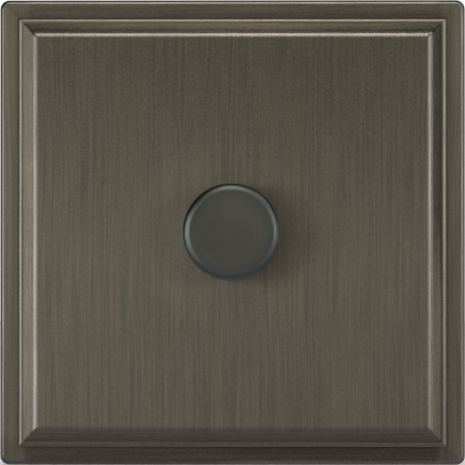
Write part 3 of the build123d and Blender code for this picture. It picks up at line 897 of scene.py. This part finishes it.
@dataclass
class Plate:
    """Stepped wall plate: an outer band, a nosed step, a sloping tread and a rounded field, hollow behind."""

    GRAIN: ClassVar[str] = "grain_level"
    BARE_AND_HIGHLIGHT: ClassVar[str] = "bare_and_highlight"
    FIELD: ClassVar[str] = "field_share"
    SHADE_AND_PATINA: ClassVar[str] = "shade_and_patina"
    # painted highlight: the worn edges' paler colour is made stronger on the top edge and the right nose and
    # weaker on the left and on the field's bottom edge
    SIDE_WEAR_HIGHLIGHT: ClassVar[dict[tuple[Zone, Side], float]] = {
        (Zone.EDGE, Side.TOP): 1.6,
        (Zone.EDGE, Side.LEFT): 0.7,
        (Zone.NOSE, Side.RIGHT): 1.4,
        (Zone.FIELD, Side.LEFT): 0.7,
        (Zone.FIELD, Side.BOTTOM): 0.3,
    }

    corner: float = 1.7 * MM
    wall: float = 1.4 * MM
    band_height: float = 4.9 * MM
    edge_reach: float = 0.8 * MM
    edge_drop: float = 0.5 * MM
    edge_taper: float = 0.8
    # painted shade that dims the outer edge's highlight
    edge_shade: float = 0.3
    edge_wear_highlight: float = 0.5
    band_start: float = 0.2 * MM
    band_corners: Band = (0.55, 0.5)
    step_inset: float = 3.45 * MM
    step_rise: float = 0.9 * MM
    nose_reach: float = 0.85 * MM
    nose_drop: float = 0.35 * MM
    nose_wear_highlight: float = 0.35
    nose_shade_rows: int = 3
    quirk_width: float = 0.2 * MM
    quirk_depth: float = 0.02 * MM
    tread_width: float = 1.5 * MM
    tread_rise: float = 0.25 * MM
    tread_crown: float = 0.02 * MM
    tread_steps: int = 6
    field_rise: float = 0.35 * MM
    field_round: float = 3.0 * MM
    field_corner: float = 0.55 * MM
    field_taper: float = 0.35
    flat_start: float = 0.1 * MM
    flat_corner: float = 0.2 * MM
    hole_radius: float = 5.3 * MM
    side_band: float = 5.8 * MM
    side_step: float = 1.6 * MM
    step_shade_width: float = 1.9 * MM
    tight: float = 0.12 * MM
    notch_half: float = 4.0 * MM
    notch_height: float = 1.0 * MM
    notch_slope: float = 0.02
    pocket_half: float = 6.1 * MM
    pocket_depth: float = 0.5 * MM
    pocket_low: float = 0.8 * MM
    pocket_high: float = 2.0 * MM
    lip: float = 0.02 * MM
    worn_from: float = 5.0
    worn_over: float = 12.0
    station_shares: tuple[float, ...] = (0.65, 0.35)
    bottom_turn: int = 2
    per_corner: int = 6
    arc_steps: int = 12
    # painted shade and patina over the plate
    patina: PatinaAndShade = PatinaAndShade()

    half: float = field(init=False)
    field_level: float = field(init=False)
    field_slope: float = field(init=False)

    def __post_init__(self) -> None:
        """Take the overall sizes from the CAD plate."""
        low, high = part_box("front_plate")
        self.half = (high.x - low.x) / 2
        self.field_level = -low.y
        self.field_slope = math.sqrt(self.field_round**2 - (self.field_round - self.field_rise) ** 2)

    def worn(self, tilt: float) -> float:
        """How far a face is worn, with painted highlight, when it leans a number of degrees away from level.
        """
        return clamp((tilt - self.worn_from) / self.worn_over)

    def edge_rows(self) -> list[Row]:
        """Rings of the outer edge and of the band up to the step.

        Returns:
            The rings in order.
        """
        rows = [Row(0.0, 0.0, self.corner, Zone.EDGE)]
        edge = quarter(0.0, self.band_height, self.edge_reach, self.edge_drop, self.arc_steps)
        for i, (u, h) in enumerate(edge):
            wear_highlight = self.edge_wear_highlight * self.worn(90 * (1 - i / self.arc_steps))
            corner = self.corner - u * self.edge_taper
            # painted shade dims the outer edge's highlight
            rows.append(Row(u, h, corner, Zone.EDGE, shade_and_patina=self.edge_shade, wear_highlight=wear_highlight))
        outer, inner = (self.corner * share for share in self.band_corners)
        rows.append(Row(self.edge_reach + self.band_start, self.band_height, outer, Zone.BAND))
        rows.append(Row(self.step_inset - self.step_shade_width, self.band_height, inner, Zone.BAND))
        # painted shade in the corner at the step's foot, fading out across the band
        rows.append(Row(self.step_inset, self.band_height, self.tight, Zone.BAND, shade_and_patina=1.0))
        return rows

    def profile(self) -> list[Row]:
        """Outline of the plate's front, from the wall to the field.

        Returns:
            The rings of the mesh in order.
        """
        rows = self.edge_rows()
        nose_top = self.band_height + self.step_rise
        nose = quarter(self.step_inset, nose_top, self.nose_reach, self.nose_drop, self.arc_steps)
        for i, (u, h) in enumerate(nose):
            wear_highlight = self.nose_wear_highlight * self.worn(90 * (1 - i / self.arc_steps))
            # painted shade fading up the nose from the step's foot
            shade_and_patina = max(0.0, 1.0 - i / self.nose_shade_rows)
            rows.append(Row(u, h, self.tight, Zone.NOSE, shade_and_patina=shade_and_patina, wear_highlight=wear_highlight))
        quirk = self.step_inset + self.nose_reach + self.quirk_width / 2
        rows.append(Row(quirk, nose_top - self.quirk_depth, self.tight, Zone.QUIRK))
        tread_in = quirk + self.quirk_width / 2
        for i in range(self.tread_steps + 1):
            t = i / self.tread_steps
            height = nose_top + t * self.tread_rise + 4 * t * (1 - t) * self.tread_crown
            corner = self.tight + t * (self.field_corner - self.tight)
            # painted shade and patina, thickest by the quirk
            rows.append(Row(tread_in + t * self.tread_width, height, corner, Zone.TREAD, shade_and_patina=1.0 - t))
        riser = tread_in + self.tread_width
        centre = (riser + self.field_slope, self.field_level - self.field_round)
        lean = math.degrees(math.asin(self.field_slope / self.field_round))
        crown = arc(centre, self.field_round, 90 + lean, 90, self.arc_steps)
        for i, (u, h) in enumerate(crown[1:], start=1):
            part = i / self.arc_steps
            corner = self.field_corner - self.field_taper * (u - riser)
            wear_highlight = self.worn(lean * (1 - part))
            rows.append(Row(u, h, corner, Zone.FIELD, field=part**2, wear_highlight=wear_highlight))
        flat = centre[0] + self.flat_start
        rows.append(Row(flat, self.field_level, self.flat_corner, Zone.FIELD, field=1.0))
        return rows

    def back_profile(self) -> list[Row]:
        """Outline of the hollow back, from the field's underside to the skirt, with the snap pockets.

        Returns:
            The rings of the mesh in order.
        """
        tread_in = self.step_inset + self.nose_reach + self.quirk_width
        field_inset = tread_in + self.tread_width + self.field_slope
        band_under = self.band_height - self.wall
        rows = [
            (field_inset, self.field_level - self.wall, 0.0),
            (field_inset, band_under, 0.0),
            (self.wall, band_under, 0.0),
            (self.wall, self.pocket_high + self.lip, 0.0),
            (self.wall, self.pocket_high, self.pocket_depth),
            (self.wall, self.pocket_low, self.pocket_depth),
            (self.wall, self.pocket_low - self.lip, 0.0),
            (self.wall, 0.0, 0.0),
        ]
        return [Row(inset, level, self.tight, Zone.EDGE, pocket=pocket) for inset, level, pocket in rows]

    @property
    def half_stations(self) -> list[float]:
        """Places along half a side where each ring has a point.

        Returns:
            Distances from the side's middle, starting at its end.
        """
        band_end = self.half - self.side_band
        places = [band_end + self.side_step, band_end - self.lip]
        places += [share * self.half for share in self.station_shares]
        for end in (self.pocket_half, self.notch_half):
            places += [end + self.lip, end - self.lip]
        return places

    def stations(self, reach: float) -> list[float]:
        """Places along a whole side whose straight part ends at a given reach from the middle."""
        halves = [min(place, reach - (i + 1) * self.lip) for i, place in enumerate(self.half_stations)]
        return halves + [-place for place in reversed(halves)]

    def ring(self, row: Row) -> list[Point]:
        """One square ring of the mesh, anticlockwise seen from the front.

        Args:
            row: the ring's inset, level, corner radius and pocket.

        Returns:
            The ring's points; those in the middle of each side reach out into the snap pocket, and near the
            wall those in the middle of the bottom side lift to leave a prying notch.
        """
        half = self.half - row.inset
        centre = half - row.corner
        bend = arc((centre, centre), row.corner, 0, 90, self.per_corner)
        side = bend + [(place, half) for place in self.stations(centre)]
        points: list[Point] = []
        for turn in range(4):
            cos, sin = math.cos(math.radians(90 * turn)), math.sin(math.radians(90 * turn))
            low = turn == self.bottom_turn and row.level < self.notch_height
            for a, b in side:
                out = b + row.pocket if abs(a) < self.pocket_half else b
                level = row.level
                if low and abs(a) < self.notch_half:
                    level = self.notch_height + self.notch_slope * row.level
                points.append((a * cos - out * sin, -level, a * sin + out * cos))
        return points

    def round_ring(self, row: Row) -> list[Point]:
        """One round ring at the hole, at a row's level, with as many points as a square ring."""
        lengths = [(x, z, math.hypot(x, z) / self.hole_radius) for x, _, z in self.ring(row)]
        return [(x / length, -row.level, z / length) for x, z, length in lengths]

    def grain_at(self, row: Row, place: int, point: Point) -> Grain:
        """Way of the brushing at one end of a face: mitred on the moulding, upright on the field.

        On the outer band the upright sides run through at the corners.

        Args:
            row: ring that the face starts from.
            place: the face's place along the ring.
            point: the end's point.

        Returns:
            The way of the brushing there.
        """
        x, _, z = point
        if row.zone in (Zone.EDGE, Zone.BAND):
            level = abs(z) > abs(x) and abs(x) <= self.half - self.side_band
        else:
            turn, step = divmod(place, self.per_corner + 1 + 2 * len(self.half_stations))
            before_mitre = step < self.per_corner / 2
            level = row.zone is not Zone.FIELD and before_mitre != (turn % 2 == 0)
        return Grain.LEVEL if level else Grain.UPRIGHT

    def build(self) -> Piece:
        """Make the plate's mesh and paint on it its grain, its wear with painted highlights and its patina
        with painted shade.

        Returns:
            The plate object.
        """
        rows = self.profile()
        rings = [self.ring(row) for row in rows]
        for level, share in ((self.field_level, 1.0), (self.field_level - self.wall, 0.0)):
            rows.append(Row(0.0, level, self.corner, Zone.FIELD, field=share))
            rings.append(self.round_ring(rows[-1]))
        back = self.back_profile()
        rows += back
        rings += [self.ring(row) for row in back]
        count = len(rings[0])
        faces: list[Sequence[int]] = []
        grain: list[float] = []
        for i, row in enumerate(rows):
            a, b = i * count, (i + 1) % len(rows) * count
            for k in range(count):
                m = (k + 1) % count
                faces.append((a + k, a + m, b + m, b + k))
                first, second = (self.grain_at(row, k, rings[i][n]).value for n in (k, m))
                grain += [first, second, second, first]
        spots = [(row, point) for row, ring in zip(rows, rings) for point in ring]
        plate = add_mesh("plate", [point for _, point in spots], faces)
        self.paint(plate, self.GRAIN, "CORNER", grain)
        # worn metal with painted highlight at each point
        self.paint(plate, self.BARE_AND_HIGHLIGHT, "POINT", [self.bare_and_highlight(row, point) for row, point in spots])
        self.paint(plate, self.FIELD, "POINT", [row.field for row, _ in spots])
        # painted shade and patina at each point
        painted_shade_and_patina = [self.patina.at(row, x / self.half, z / self.half) for row, (x, _, z) in spots]
        self.paint(plate, self.SHADE_AND_PATINA, "POINT", painted_shade_and_patina)
        smooth(plate, CREASE)
        return plate

    def bare_and_highlight(self, row: Row, point: Point) -> float:
        """Share of worn metal at a point of a ring, with painted highlight that is made stronger or weaker
        side by side.
        """
        return row.wear_highlight * self.SIDE_WEAR_HIGHLIGHT.get((row.zone, Side.of(point)), 1.0)

    def paint(self, plate: Piece, name: str, domain: str, values: list[float]) -> None:
        """Store one number for each point or corner of the plate, in mesh order, as a named attribute."""
        layer = plate.data.attributes.new(name, "FLOAT", domain)
        layer.data.foreach_set("value", values)

    def dress(self, plate: Piece) -> None:
        """Give the plate its finish and its place in the frame."""
        plate.data.materials.append(material_of("bronze_plate"))
        settle(plate, Body.BASE, "bronze_plate", "front_plate")


@dataclass
class Knob:
    """Turned knob shell with a flat face, a shallow bevel and a rounded edge."""

    bevel_width: float = 1.25 * MM
    bevel_tilt: float = 12.0
    edge_reach: float = 0.9 * MM
    edge_drop: float = 0.35 * MM
    face_margin: float = 0.15 * MM
    back_chamfer: float = 0.3 * MM
    wall: float = 1.0 * MM
    segments: int = 160
    arc_steps: int = 18

    radius: float = field(init=False)
    front: float = field(init=False)
    back: float = field(init=False)

    def __post_init__(self) -> None:
        """Take the overall sizes from the CAD knob."""
        low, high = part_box("knob_cap")
        self.radius = (high.x - low.x) / 2
        self.front = -low.y
        self.back = -high.y

    def profile(self) -> list[Spot]:
        """Outline of the shell.

        Returns:
            Radius and height above the wall, from the inside of the face round to its outside.
        """
        inner = self.radius - self.wall
        rows = [(inner, self.front - self.wall), (inner, self.back)]
        rows.append((self.radius - self.back_chamfer, self.back))
        rows.append((self.radius, self.back + self.back_chamfer))
        slope = math.tan(math.radians(self.bevel_tilt))
        for inset, level in quarter(0.0, self.front, self.edge_reach, self.edge_drop, self.arc_steps):
            rows.append((self.radius - inset, level - slope * (self.bevel_width - inset)))
        face = self.radius - self.bevel_width
        rows += [(face, self.front), (face - self.face_margin, self.front)]
        return rows

    def build(self) -> Piece:
        """Turn the shell.

        Returns:
            The knob object.
        """
        knob = lathe("knob", self.profile(), self.segments)
        smooth(knob, CREASE)
        return knob

    def dress(self, knob: Piece) -> None:
        """Give the knob its finish and its place in the frame."""
        knob.data.materials.append(material_of("bronze_knob"))
        settle(knob, Body.KNOB, "bronze_knob", "knob_cap")


class Growth(Group):
    """Geometry Nodes tree that grows one piece and gives it a finish."""

    def __init__(self, name: str, values: dict[str, Value]) -> None:
        """Make the tree with one named input for each value.

        Args:
            name: the tree's name.
            values: value of each input, the finish among them.
        """
        inputs = {label: Kind.of(value) for label, value in values.items()}
        super().__init__("GeometryNodeTree", name, inputs, {"Geometry": Kind.GEOMETRY})
        self.values = values

    def coil(self, turns: Link, radius: str, height: str, wire: str, steps: int, sides: int) -> Link:
        """Wire wound round the Z axis, with closed ends.

        Args:
            turns: number of turns.
            radius: input with the coil's radius.
            height: input with its height.
            wire: input with the wire's radius.
            steps: number of steps in a turn.
            sides: number of sides of the wire.

        Returns:
            The geometry's socket.
        """
        given = self.given
        path = self.node("GeometryNodeCurveSpiral", Resolution=steps, Rotations=turns, Height=given[height])
        self.feed(path, Start_Radius=given[radius], End_Radius=given[radius])
        section = self.node("GeometryNodeCurvePrimitiveCircle", Resolution=sides, Radius=given[wire])
        tube = self.node("GeometryNodeCurveToMesh", Curve=path.outputs[0], Fill_Caps=True)
        self.feed(tube, Profile_Curve=section.outputs[0])
        return tube.outputs[0]

    def move(self, geometry: Link, turn: float = 0.0, **shift: Link) -> Link:
        """Turn a geometry about X and shift it.

        Args:
            geometry: what is moved.
            turn: the turn in degrees.
            shift: distance along each axis.

        Returns:
            The moved geometry's socket.
        """
        way = self.node("ShaderNodeCombineXYZ", **shift).outputs[0]
        turned = (math.radians(turn), 0.0, 0.0)
        moved = self.node("GeometryNodeTransform", Geometry=geometry, Translation=way, Rotation=turned)
        return moved.outputs[0]

    def run(self, name: str, geometry: Link) -> Piece:
        """Close the tree, run it and keep its result as a plain mesh.

        Args:
            name: name of the finished object.
            geometry: what the tree has made.

        Returns:
            The finished object at the origin.
        """
        whole = self.node("GeometryNodeRealizeInstances", Geometry=geometry).outputs[0]
        done = self.node("GeometryNodeSetMaterial", Geometry=whole, Material=self.given["Finish"])
        self.feed(self.out, Geometry=done.outputs[0])
        seed = add_piece(name + "_seed", bpy.data.meshes.new(name + "_seed"))
        modifier = seed.modifiers.new("grow", "NODES")
        modifier.node_group = self.tree
        for item in self.tree.interface.items_tree:
            if item.in_out == "INPUT":
                modifier[item.identifier] = self.values[item.name]
        graph = bpy.context.evaluated_depsgraph_get()
        mesh = bpy.data.meshes.new_from_object(seed.evaluated_get(graph))
        mesh.name = name
        bpy.data.objects.remove(seed)
        return add_piece(name, mesh)


@dataclass
class ReturnSpring:
    """Coil spring behind the switch slider."""

    wire: float = 0.2 * MM
    turns: float = 4.0
    travel: float = 1.5 * MM
    steps: int = 40
    sides: int = 10

    low: Vector = field(init=False)
    high: Vector = field(init=False)

    def __post_init__(self) -> None:
        """Take the overall sizes from the CAD spring."""
        self.low, self.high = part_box("return_spring")

    def build(self) -> Piece:
        """Wind the spring along Y where the CAD spring is.

        Returns:
            The spring object.
        """
        size = self.high - self.low
        values = {
            "Radius": size.x / 2 - self.wire,
            "Height": size.y - 2 * self.wire,
            "Turns": self.turns,
            "Wire": self.wire,
            "Start": self.high.y - self.wire,
            "Finish": material_of("spring_steel"),
        }
        g = Growth("Coil", values)
        tube = g.coil(g.given["Turns"], "Radius", "Height", "Wire", self.steps, self.sides)
        laid = g.move(tube, 90, Y=g.given["Start"])
        return g.run("spring", g.node("GeometryNodeSetShadeSmooth", Geometry=laid).outputs[0])

    def dress(self, spring: Piece) -> None:
        """Put the spring in the frame on the base, with a mesh of its own.

        Args:
            spring: the spring object.
        """
        settle(spring, Body.BASE, "spring_steel", "return_spring")
        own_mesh(spring)


@dataclass
class WallScrews:
    """Pair of wall-box screws with domed, slotted heads and rolled threads."""

    radius: float = 1.75 * MM
    core: float = 1.42 * MM
    pitch: float = 0.6 * MM
    neck: float = 1.5 * MM
    head_radius: float = 3.3 * MM
    head_height: float = 2.2 * MM
    drive_width: float = 0.9 * MM
    drive_depth: float = 1.0 * MM
    drive_overshoot: float = 1.1
    tip_length: float = 0.6 * MM
    tip_chamfer: float = 0.5 * MM
    thread_end: float = 1.2 * MM
    centres: float = 60.3 * MM
    segments: int = 32
    dome_steps: int = 8
    thread_steps: int = 24
    thread_sides: int = 4
    crease: float = 30.0

    face: float = field(init=False)
    tip: float = field(init=False)

    def __post_init__(self) -> None:
        """Take the ends of the screws from the CAD screws."""
        low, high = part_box("fixing_screws")
        self.face, self.tip = low.y, high.y

    def blank(self) -> Piece:
        """Turned blank of one screw, along Y at the origin, without its slot and thread.

        Returns:
            The blank as a helper object.
        """
        front, end = -self.face, -self.tip
        seat = front - self.head_height
        dome = self.head_height / 2
        rows = [(self.core - self.tip_chamfer, end), (self.core, end + self.tip_length), (self.core, 0.0)]
        rows += [(self.neck, 0.0), (self.neck, seat), (self.head_radius, seat)]
        rounded = quarter(0.0, front, dome, dome, self.dome_steps)
        rows += [(self.head_radius - inset, level) for inset, level in rounded]
        return lathe("screw_blank", rows, self.segments)

    def build(self) -> Piece:
        """Slot and thread a blank and set it at both fixing places.

        Returns:
            The screws as one object.
        """
        blank = self.blank()
        values = {
            "Blank": blank,
            "Core": self.core,
            "Depth": self.radius - self.core,
            "Pitch": self.pitch,
            "Length": self.tip - self.thread_end,
            "Face": self.face,
            "Slot Length": 2 * self.head_radius * self.drive_overshoot,
            "Slot Width": self.drive_width,
            "Slot Depth": self.drive_depth,
            "Centres": self.centres,
            "Finish": material_of("zinc_steel"),
        }
        g = Growth("Wall screws", values)
        given = g.given
        turns = g.maths("DIVIDE", given["Length"], given["Pitch"])
        thread = g.coil(turns, "Core", "Length", "Depth", self.thread_steps, self.thread_sides)
        deep = g.maths("MULTIPLY", given["Slot Depth"], 2.0)
        size = g.node("ShaderNodeCombineXYZ", X=given["Slot Length"], Y=deep, Z=given["Slot Width"])
        bar = g.node("GeometryNodeMeshCube", Size=size.outputs[0])
        slotted = g.node("GeometryNodeMeshBoolean", {"operation": "DIFFERENCE"})
        turned = g.node("GeometryNodeObjectInfo", Object=given["Blank"]).outputs["Geometry"]
        g.feed(slotted, Mesh_1=turned, Mesh_2=g.move(bar.outputs[0], Y=given["Face"]))
        screw = g.node("GeometryNodeJoinGeometry")
        for part in (slotted.outputs[0], g.move(thread, -90)):
            g.plug(screw.inputs[0], part)
        start = g.node("ShaderNodeCombineXYZ", X=g.maths("MULTIPLY", given["Centres"], -0.5))
        step = g.node("ShaderNodeCombineXYZ", X=given["Centres"])
        places = g.node("GeometryNodeMeshLine", Count=2, Offset=step.outputs[0])
        g.feed(places, Start_Location=start.outputs[0])
        pair = g.node("GeometryNodeInstanceOnPoints", Points=places.outputs[0], Instance=screw.outputs[0])
        screws = g.run("wall_screws", pair.outputs[0])
        bpy.data.objects.remove(blank)
        smooth(screws, self.crease)
        return screws

    def dress(self, screws: Piece) -> None:
        """Put the screws in the frame."""
        settle(screws, Body.BASE, "zinc_steel", "fixing_screws")


@dataclass
class Mechanism:
    """CAD pieces that keep their own shape and get a finish."""

    redrawn: tuple[str, ...] = ("front_plate", "knob_cap", "fixing_screws", "return_spring")

    def dress(self) -> None:
        """Give every remaining CAD node the finish of its record slot."""
        slots = {row["node"]: row["material_slot"] for row in frame["record"]["subparts"]}
        for name, node in frame["nodes"].items():
            if name in self.redrawn:
                continue
            node.data.materials.clear()
            node.data.materials.append(material_of(slots[name]))
            LOG.info("%s: CAD piece in %s", name, slots[name])


@dataclass(frozen=True)
class Softbox:
    """One rectangular studio light aimed at the object."""

    name: str
    place: Point
    width: float
    height: float
    radiance: float
    colour: Colour

    def build(self) -> None:
        """Add the light to the scene."""
        lamp = bpy.data.lights.new(self.name, "AREA")
        lamp.shape = "RECTANGLE"
        lamp.size = self.width
        lamp.size_y = self.height
        lamp.energy = self.radiance * math.pi * self.width * self.height
        lamp.color = self.colour
        made = bpy.data.objects.new(self.name, lamp)
        made.location = self.place
        made.rotation_euler = (-Vector(self.place)).to_track_quat("-Z", "Y").to_euler()
        bpy.context.scene.collection.objects.link(made)


@dataclass
class Studio:
    """Pale floor, soft light and the camera in front of the plate.

    The surroundings in front differ only in reflections, by the sine of the height that they are seen at.
    """

    camera_distance: float = 0.70
    camera_side: float = 0.009
    camera_drop: float = 0.004
    frame_share: float = 463.7 / 465
    sensor_width: float = 36.0
    clip: Band = (0.01, 20.0)
    floor_size: float = 3.0
    floor_gap: float = 0.3 * MM
    floor_colour: Colour = (0.90, 0.90, 0.89)
    floor_shade: float = 0.97
    floor_roughness: float = 0.9
    mottle_scale: float = 40.0
    ambient: float = 0.80
    front_deep: float = 0.76
    front_low: float = 0.34
    front_near: float = 0.70
    deep_band: Band = (-0.95, -0.60)
    low_band: Band = (-0.70, -0.12)
    near_band: Band = (-0.12, 0.0)
    side_band: Band = (-0.05, 0.3)
    tint_band: Band = (-0.25, -0.10)
    low_tint: Colour = (0.98, 0.98, 1.12)

    lights: tuple[Softbox, ...] = (
        Softbox("key", (-0.213, -0.853, 0.046), 0.216, 0.185, 2.0, (1.0, 1.0, 0.90)),
        Softbox("left", (-0.413, -0.777, 0.0), 0.200, 0.240, 8.1, (0.94, 1.0, 1.07)),
        Softbox("far left", (-0.588, -0.655, 0.0), 0.232, 0.400, 2.8, (0.92, 1.0, 1.08)),
        Softbox("right", (0.411, -0.773, 0.070), 0.200, 0.240, 7.6, (0.98, 1.0, 1.04)),
        Softbox("far right", (0.777, -0.408, 0.060), 0.342, 0.400, 1.3, (0.96, 1.0, 1.0)),
        Softbox("low top", (0.0, -0.770, 0.427), 0.279, 0.216, 6.3, (1.0, 0.98, 0.92)),
        Softbox("high top", (0.0, -0.674, 0.566), 0.279, 0.160, 4.8, (1.0, 0.98, 0.92)),
        Softbox("corner", (0.408, -0.605, 0.492), 0.247, 0.247, 3.0, (0.95, 1.0, 1.05)),
    )

    def floor(self) -> None:
        """Lay a plain pale floor under the plate."""
        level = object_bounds()[0].z - self.floor_gap
        s = self.floor_size / 2
        corners = [(-s, -s, level), (s, -s, level), (s, s, level), (-s, s, level)]
        made = add_mesh("floor", corners, [(0, 1, 2, 3)])
        c = Canvas("Studio floor")
        shade = tuple(part * self.floor_shade for part in self.floor_colour)
        colour = c.blend(c.noise(c.place, self.mottle_scale, detail=2.0), shade, self.floor_colour)
        c.surface(Base_Color=colour, Roughness=self.floor_roughness)
        made.data.materials.append(c.material)
        made.visible_glossy = False
        made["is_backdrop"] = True

    def world(self) -> None:
        """White surroundings behind the object; in front of it dark ones above and brighter ones below."""
        world = bpy.data.worlds.new("Studio")
        bpy.context.scene.world = world
        world.use_nodes = True
        world.node_tree.nodes.clear()
        w = Wiring(world.node_tree)
        ray = w.node("ShaderNodeLightPath").outputs
        way = w.node("ShaderNodeTexCoord").outputs["Generated"]
        _, depth, height = w.node("ShaderNodeSeparateXYZ", Vector=way).outputs
        near = w.span(height, *self.near_band, self.front_near, 0.0)
        below = w.span(height, *self.low_band, self.front_low, self.front_near)
        deep = w.span(height, *self.deep_band, self.front_deep, self.front_low)
        is_below = w.maths("LESS_THAN", height, self.near_band[0])
        front = w.lerp(is_below, near, w.maths("MAXIMUM", below, deep))
        mirrored = w.lerp(w.span(depth, *self.side_band), front, 1.0)
        seen = w.maths("MAXIMUM", ray["Is Glossy Ray"], ray["Is Transmission Ray"])
        strength = w.lerp(seen, self.ambient, mirrored)
        strength = w.lerp(ray["Is Camera Ray"], strength, 1.0)
        low = w.maths("MULTIPLY", seen, w.span(height, *self.tint_band, 1.0, 0.0))
        colour = w.blend(low, (1.0, 1.0, 1.0), self.low_tint)
        back = w.node("ShaderNodeBackground", Color=colour, Strength=strength)
        w.node("ShaderNodeOutputWorld", Surface=back.outputs[0])

    def camera(self) -> None:
        """Set the camera straight in front, filling the frame with the plate."""
        low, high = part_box("front_plate")
        lens = bpy.data.cameras.new("camera")
        made = bpy.data.objects.new("camera", lens)
        place = Vector((self.camera_side, -self.camera_distance, -self.camera_drop))
        target = Vector((0.0, (low.y + high.y) / 2, 0.0))
        made.location = place
        made.rotation_euler = (target - place).to_track_quat("-Z", "Y").to_euler()
        span = (high.x - low.x) / self.frame_share
        lens.sensor_width = self.sensor_width
        lens.lens = lens.sensor_width * (target - place).length / span
        lens.clip_start, lens.clip_end = self.clip
        bpy.context.scene.collection.objects.link(made)
        bpy.context.scene.camera = made

    def build(self) -> None:
        """Set up floor, surroundings, lights and camera."""
        bpy.context.scene.view_settings.view_transform = "Standard"
        self.floor()
        self.world()
        for light in self.lights:
            light.build()
        self.camera()


def main() -> None:
    """Build and dress every piece, then the studio."""
    logging.basicConfig(level=logging.INFO, format="%(name)s %(message)s")
    for part in (Plate(), Knob(), WallScrews(), ReturnSpring()):
        part.dress(part.build())
    Mechanism().dress()
    Studio().build()


if __name__ == "__main__":
    main()
